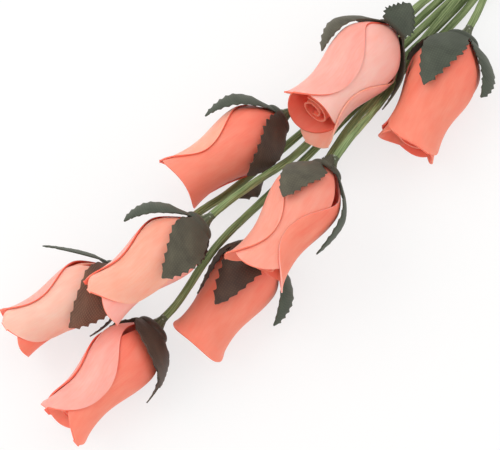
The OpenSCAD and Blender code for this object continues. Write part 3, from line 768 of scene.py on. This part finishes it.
def sepal_rule(cut, facing, width, tip_h, opened, lean, twist, seed, close):
    hinge_r = cloth_r(COLLAR_H)
    slope = (cloth_r(COLLAR_H + SLOPE_STEP) - hinge_r) / SLOPE_STEP
    straight = min(1, opened / STRAIGHT_TURN)
    middle, half_cut = sum(cut) / 2, (cut[1] - cut[0]) / 2
    foot_z = -(FOOT_H + CLOTH_GAP) / 2
    sepal_h = tip_h - COLLAR_H

    def rule(s, across):
        row = s * (FOOT_ROWS + SEPAL_ROWS) - FOOT_ROWS
        side = 2 * across - 1
        # The foot and the ring, from the stem out to where the sepal starts
        if row <= 0:
            t = 1 + row / FOOT_ROWS
            r = COLLAR_D / 2 + (hinge_r - COLLAR_D / 2) * sin(pi / 2 * t)
            z = foot_z + (COLLAR_H - foot_z) * t ** FOOT_CURVE
            return round_axis(r, 180 + middle + half_cut * side, z)
        share = row / SEPAL_ROWS
        free = min(1, share / SEPAL_START)
        away = min(1, max(0, share - close) / CLOSE_RAMP) if close else 1
        # The teeth are cut square to the slant of the edge
        edge = 1 if side > 0 else -1
        taper = edge * width / 2 / (1 - SEPAL_WIDEST) if share > SEPAL_WIDEST else 0
        slant = (radians(lean) * cloth_r(COLLAR_H + share * sepal_h) - taper) / sepal_h
        depth = free * tooth_depth(row, seed + (side > 0)) * abs(side) ** TOOTH_FADE
        depth /= (1 + slant ** 2) ** 0.5
        rise = share * sepal_h + edge * depth * slant
        z = COLLAR_H + rise
        # The middle line follows the bud or leaves it, bent back where it is opened far
        bend = radians(max(0, opened - STRAIGHT_TURN)) * sin(pi / 2 * min(1, share / SEPAL_BEND))
        out = (1 - straight * away) * (cloth_r(z) - hinge_r) + straight * away * slope * rise
        out -= CLOSE_BY * free * (1 - away)
        # Across, the sepal is curved less than the bud, and one edge may be turned out
        half_w = (1 - free) * hinge_r * radians(half_cut) + free * sepal_half_width(share, width)
        half_w = max(CLOTH_T / 2, half_w - depth)
        round_r = cloth_r(z) * (1 + (FLATNESS - 1 + opened / FLAT_TURN) * free * away)
        dip = round_r * (1 - cos(half_w * side / round_r))
        swing = half_w * (sin(radians(abs(twist))) + side * sin(radians(twist))) * free * away
        r = hinge_r + out * cos(bend) + rise * sin(bend) + (swing - dip) * cos(bend)
        h = COLLAR_H - out * sin(bend) + rise * cos(bend) - (swing - dip) * sin(bend)
        turn = 180 + middle + (facing + lean * share - middle) * free
        wide = round_r * sin(half_w * side / round_r) * cos(radians(twist) * free * away)
        return round_axis(r, turn, h) + round_axis(wide, turn + 90, 0)
    return rule


print("the cloth lies", round(CLOTH_OFF, 2), "mm outside the outline of the bud")

# %% Make the calyces
SEPAL_COLS = 16
JOIN_GAP = 0.001

for i in ROSES:
    node = f"rose_{i + 1}_calyx"
    whole = bmesh.new()
    tones = sorted({sepal[DYE] for sepal in SEPALS[i]})
    faces_to = [sepal[FACING] for sepal in SEPALS[i]]
    around = [faces_to[-1] - 360] + faces_to + [faces_to[0] + 360]
    rows = FOOT_ROWS + SEPAL_ROWS
    for k, (*shape, tone) in enumerate(SEPALS[i]):
        cut = ((around[k] + around[k + 1]) / 2, (around[k + 1] + around[k + 2]) / 2)
        rule = sepal_rule(cut, *shape, len(SEPALS[i]) * i + k, CLOSE_SEPALS.get((i, k), 0))
        mesh = sheet_mesh(node, rule, rows, SEPAL_COLS, [])
        middle_line = [rule(n / rows, 0.5) for n in range(rows + 1)]
        COLLAR_D / 2 + sum((b - a).length for a, b in zip(middle_line, middle_line[1:]))
        for face in mesh.polygons:
            face.material_index = tones.index(tone)
        whole.from_mesh(mesh)
        bpy.data.meshes.remove(mesh)
    bmesh.ops.remove_doubles(whole, verts=whole.verts, dist=JOIN_GAP)
    size = PLACES[i][SIZE] * MM
    cut_area = sum(face.calc_area() for face in whole.faces) * size ** 2
    mesh = bpy.data.meshes.new(node)
    whole.to_mesh(mesh)
    whole.free()
    for tone in tones:
        mesh.materials.append(CLOTHS[tone])
    calyx = thicken(new_piece(node + "_cloth", mesh), CLOTH_T)
    calyx.data.transform(bloom_matrix(i))
    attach(calyx, f"rose_{i + 1}")
    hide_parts(node)
    print(node, "is cut from", round(cut_area / MM ** 2), "square mm of cloth")

# %% [markdown]
# ## Stems
#
# A stem is a wire wound with paper tape, bent by hand, so it runs in easy curves through a few points. The
# curve here is a Catmull-Rom spline, which passes through its points. A curve object with a bevel would give
# a plain tube. The winding shows as a slow swelling of the radius that turns round the stem, so the rings of
# the tube are written out instead, each with its own radii.

# %% Routes of the stems
TIE_GAP = 0.12
TIE_T = 1.0
TIE_L = 40.0
TAIL_L = 52.0
TIE_X = 172.0
TIE_Y = 2.0
TIE_LEAD = 14.0
LANE_GAP = 0.5
LANE_STEP = STEM_D / 3
STEM_RISE = 0.9

# Points that each stem passes after its neck
ROUTES = [
    [(110, 9, 19), (126, 8, 14)],
    [(127, -10, 16), (138, -6.5, 13.5)],
    [(54, 15.6, 16), (68, 15, 8)],
    [(45, -11, 38.5), (62, -8, 26), (78, -4.5, 13), (98, -0.5, 8.2), (125, 1, 9)],
    [(-5, 7.2, 39.6), (12, 6, 31), (34, 6, 13)],
    [(12, -9, 17.5), (30, -6.5, 11)],
    [(-34, 21, 15.5), (-10, 20.5, 8), (12, 17, 3)],
    [(-41, 0, 17.5), (-16, 2.5, 22.5), (18, 3.5, 10)],
]
# Lane in which a stem then runs along the table, counted from the middle one, and where that one passes
LANES = [None, None, 2, None, 0, -2, 1, -1]
LANE_PLACES = [(62, 7), (98, 5.8), (124, 4)]
# How many of these places a stem leaves out, its slot in the tie (0 is the middle), how short its end is cut
LANE_START = [0, 0, 1, 0, 0, 0, 0, 0]
SLOTS = [1, 3, 7, 2, 0, 4, 6, 5]
CUTS = [6, 14, 0, 9, 3, 12, 5, 0]
RING_COUNT = len(PLACES) - 1
SLOT_R = (STEM_D + TIE_GAP) / (2 * sin(pi / RING_COUNT))
TIE_R = SLOT_R + STEM_D / 2 + TIE_GAP + TIE_T


def stem_route(i):
    lane = LANES[i]
    points = [Vector(PLACES[i][NECK])] + [Vector(p) for p in ROUTES[i]]
    if lane is not None:
        z = STEM_D / 2 + STEM_RISE + (LANE_STEP if lane % 2 == 0 else 0)
        points += [Vector((x, y + lane * (STEM_D + LANE_GAP), z)) for x, y in LANE_PLACES[LANE_START[i]:]]
    turn = radians(90 - 360 / RING_COUNT + 360 / RING_COUNT * (SLOTS[i] - 1))
    r = 0 if SLOTS[i] == 0 else SLOT_R
    y, z = TIE_Y + r * cos(turn), TIE_R + r * sin(turn)
    points += [Vector((x, y, z)) for x in (TIE_X - TIE_LEAD, TIE_X, TIE_X + TIE_L + TAIL_L - CUTS[i])]
    return [p - MIDDLE for p in points]


print("points on each stem:", [len(stem_route(i)) for i in ROSES])

# %% Tube round a line
STEM_PIECES = 12


def smooth_line(points, pieces):
    line = []
    for n in range(len(points) - 1):
        b, c = points[n], points[n + 1]
        a = points[n - 1] if n > 0 else 2 * b - c
        d = points[n + 2] if n + 2 < len(points) else 2 * c - b
        for k in range(pieces):
            t = k / pieces
            line.append(b + t * (c - a) / 2 + t * t * (a - 2.5 * b + 2 * c - d / 2)
                        + t ** 3 * (1.5 * (b - c) + (d - a) / 2))
    return line + [points[-1]]


def tube_mesh(name, line, radius_rule, sides, bore_r=0):
    mesh = bpy.data.meshes.new(name)
    verts, faces, uvs = [], [], []
    length = 0.0
    lengths = []
    # Each ring has a middle, and a radius of its own where it belongs to the bore
    rings = [(p, None) for p in line]
    if bore_r:
        rings += [(line[-1], bore_r), (line[-2], bore_r)]
    for n, (p, r) in enumerate(rings):
        length += (p - rings[n - 1][0]).length if n else 0.0
        lengths.append(length)
        at = min(n, len(line) - 1)
        ahead = (line[min(at + 1, len(line) - 1)] - line[max(at - 1, 0)]).normalized()
        side = Vector((0, 0, 1)).cross(ahead).normalized()
        up = ahead.cross(side)
        for k in range(sides):
            turn = 2 * pi * k / sides
            verts.append(p + (r or radius_rule(length, turn)) * (cos(turn) * side + sin(turn) * up))
    for n in range(len(rings) - 1):
        for k in range(sides):
            k2 = (k + 1) % sides
            faces.append((n * sides + k, n * sides + k2, (n + 1) * sides + k2, (n + 1) * sides + k))
            uvs.append([(k, n), (k + 1, n), (k + 1, n + 1), (k, n + 1)])
    if bore_r:
        faces.append(tuple(range(sides))[::-1])
        uvs.append([(k, 0) for k in range(sides)][::-1])
    mesh.from_pydata(verts, [], faces)
    layer = mesh.uv_layers.new(name="mm")
    for face, corners in zip(mesh.polygons, uvs):
        for loop, (k, n) in zip(face.loop_indices, corners):
            layer.data[loop].uv = (k * pi * STEM_D / sides, lengths[n])
    mesh.shade_smooth()
    mesh.set_sharp_from_angle(angle=radians(SHARP_TURN))
    return mesh


line = smooth_line(stem_route(0), STEM_PIECES)
print("the first stem is", round(sum((b - a).length for a, b in zip(line, line[1:]))), "mm long")

# %% Make the stems
STEM_SIDES = 20
WIND_PITCH = 11.0
WIND_STEP = 0.09
SWELL = 0.03
SWELL_TURN = 0.31
BORE_R = 0.92


def wound_radius(length, turn):
    place = (length / WIND_PITCH - turn / (2 * pi)) % 1
    return STEM_D / 2 - WIND_STEP * place + SWELL * (sin(SWELL_TURN * length + 2 * turn) - 1)


for i in ROSES:
    node = f"rose_{i + 1}_stem"
    mesh = tube_mesh(node, smooth_line(stem_route(i), STEM_PIECES), wound_radius, STEM_SIDES, BORE_R)
    mesh.transform(Matrix.Scale(MM, 4))
    mesh.materials.append(STEM_TAPE)
    stem = new_piece(node + "_tape", mesh)
    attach(stem, "stems")
    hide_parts(node)
print("stems:", len(PLACES))

# %% [markdown]
# ## Necks
#
# Under each calyx the tape flares to meet the cloth, with pale spots of painted glint on it. This collar
# crosses the place where the wire bends. Two rigid collars would gape there, so one collar runs from the stem
# into the head.

# %% Make the necks
NECK_BELOW = 2.6
NECK_ABOVE = 2.2
NECK_FLEX = 1.6
NECK_TOP_R = 3.2
NECK_AIR = 0.03
NECK_PIECES = 40
NECK_STEPS = 8
FLARE_START = 0.2
FLARE_CURVE = 1.5
CRINKLE = 0.14
FOLDS = 5
FOLD_SHIFT = 2.3
FINE_FOLDS = 9
FINE_SHARE = 0.6
FINE_LEAN = 7


def neck_radius(seed):
    def rule(length, turn):
        t = length / (NECK_BELOW + NECK_ABOVE)
        flared = max(0, (t - FLARE_START) / (1 - FLARE_START)) ** FLARE_CURVE
        r = STEM_D / 2 + NECK_AIR + (NECK_TOP_R - STEM_D / 2) * flared
        fine = FINE_SHARE * sin(FINE_FOLDS * turn + FINE_LEAN * t + seed)
        return r + CRINKLE * t * (sin(FOLDS * turn + FOLD_SHIFT * seed) + fine)
    return rule


for i in ROSES:
    down = smooth_line(stem_route(i), NECK_PIECES)
    start = Vector(PLACES[i][NECK]) - MIDDLE
    below = [p for p in down if (p - start).length < NECK_BELOW][1:]
    above = [start + heading(i) * NECK_ABOVE * k / NECK_STEPS for k in range(NECK_STEPS + 1)]
    mesh = tube_mesh(f"rose_{i + 1}_neck", below[::-1] + above, neck_radius(i), STEM_SIDES)
    mesh.transform(Matrix.Scale(MM, 4))
    mesh.materials.append(NECK_TAPE)
    collar = new_piece(f"rose_{i + 1}_neck_tape", mesh)
    flex = heading(i) * NECK_FLEX * MM
    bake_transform(collar)
print("necks:", len(PLACES))

# %% [markdown]
# ## Tie and wires
#
# The tie is the same tape wound round all the stems, and each turn laps over the one before. It could be a
# long strip laid in a coil, but a tube whose radius steps once a turn shows the same and stays in one piece.
# The wires show only at the cut ends, as small discs of drawn steel, so their plain solids stay and get a
# finish.

# %% Make the tie
TIE_SIDES = 48
TIE_RINGS = 120
TIE_PITCH = 7.5
LAP = 0.22
TIE_SHOWN_T = 0.8 * TIE_T


def tie_radius(length, turn):
    place = (length / TIE_PITCH - turn / (2 * pi)) % 1
    return TIE_R - LAP * place


tie_line = [Vector((TIE_X + TIE_L * n / TIE_RINGS, TIE_Y, TIE_R)) - MIDDLE for n in range(TIE_RINGS + 1)]
mesh = tube_mesh("bunch_tie", tie_line, tie_radius, TIE_SIDES)
mesh.materials.append(TIE_TAPE)
mesh.transform(Matrix.Scale(MM, 4))
tie = new_piece("bunch_tie_wound", mesh)
solid = tie.modifiers.new("thickness", "SOLIDIFY")
solid.thickness = TIE_SHOWN_T * MM
solid.offset = -1
keep_modifiers(tie)
tie.data.set_sharp_from_angle(angle=radians(SHARP_TURN))
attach(tie, "stems")
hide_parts("bunch_tie")
print("tie radius", round(TIE_R, 3), "mm")

# %% Finish the wires
SCRATCH = 0.3

# Drawn steel wire: bare metal, a little rough where it is cut
steel, tree = new_material("drawn_steel_wire")
place = add(tree, "ShaderNodeTexCoord")
scratch = add(tree, "ShaderNodeTexNoise", {
    "Vector": place.outputs["Object"], "Scale": 1 / (SCRATCH * MM), "Detail": 2.0})
rough = add(tree, "ShaderNodeMapRange", {0: scratch.outputs[0], 3: 0.28, 4: 0.5})
shader = add(tree, "ShaderNodeBsdfPrincipled", {
    "Base Color": linear("#A9A9A6"), "Metallic": 1.0, "Roughness": rough.outputs[0]})
add(tree, "ShaderNodeOutputMaterial", {"Surface": shader.outputs[0]})
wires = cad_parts["stem_wires"]
wires.data.materials.clear()
wires.data.materials.append(steel)
print("wires:", len(PLACES))
